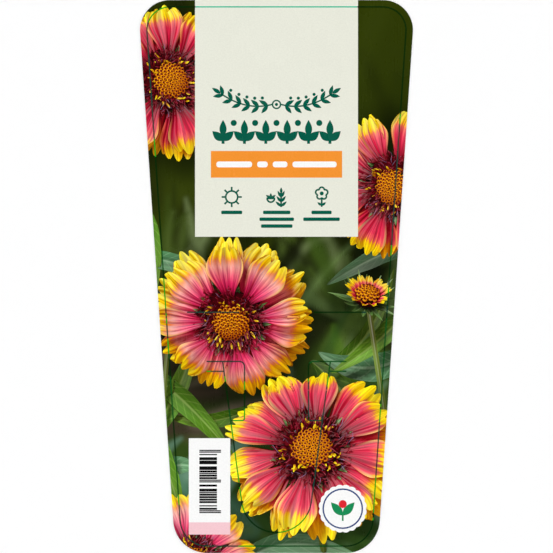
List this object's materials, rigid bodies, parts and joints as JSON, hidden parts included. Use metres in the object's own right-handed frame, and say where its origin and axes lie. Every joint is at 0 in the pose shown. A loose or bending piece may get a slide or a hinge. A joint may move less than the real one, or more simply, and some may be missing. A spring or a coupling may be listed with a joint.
{
  "type": "plant pot label",
  "caption": "Flat tapered plastic plant label with round corners and a printed front. A knife-cut tongue near its narrow end slips behind a flower pot's wall.",
  "frame": {"origin": "middle of the back face's box, on the surface that the label lies on", "axes": "+Z out of the printed front, +Y along the label to its wide end, +X to the right of the print"},
  "size_m": [0.1298, 0.263, 0.0005],
  "materials": {
    "printed_plastic": "satin, printed on the front, plain white on the back and edges"
  },
  "bodies": {
    "root": {"label_sheet": "printed_plastic"}
  },
  "joints": []
}
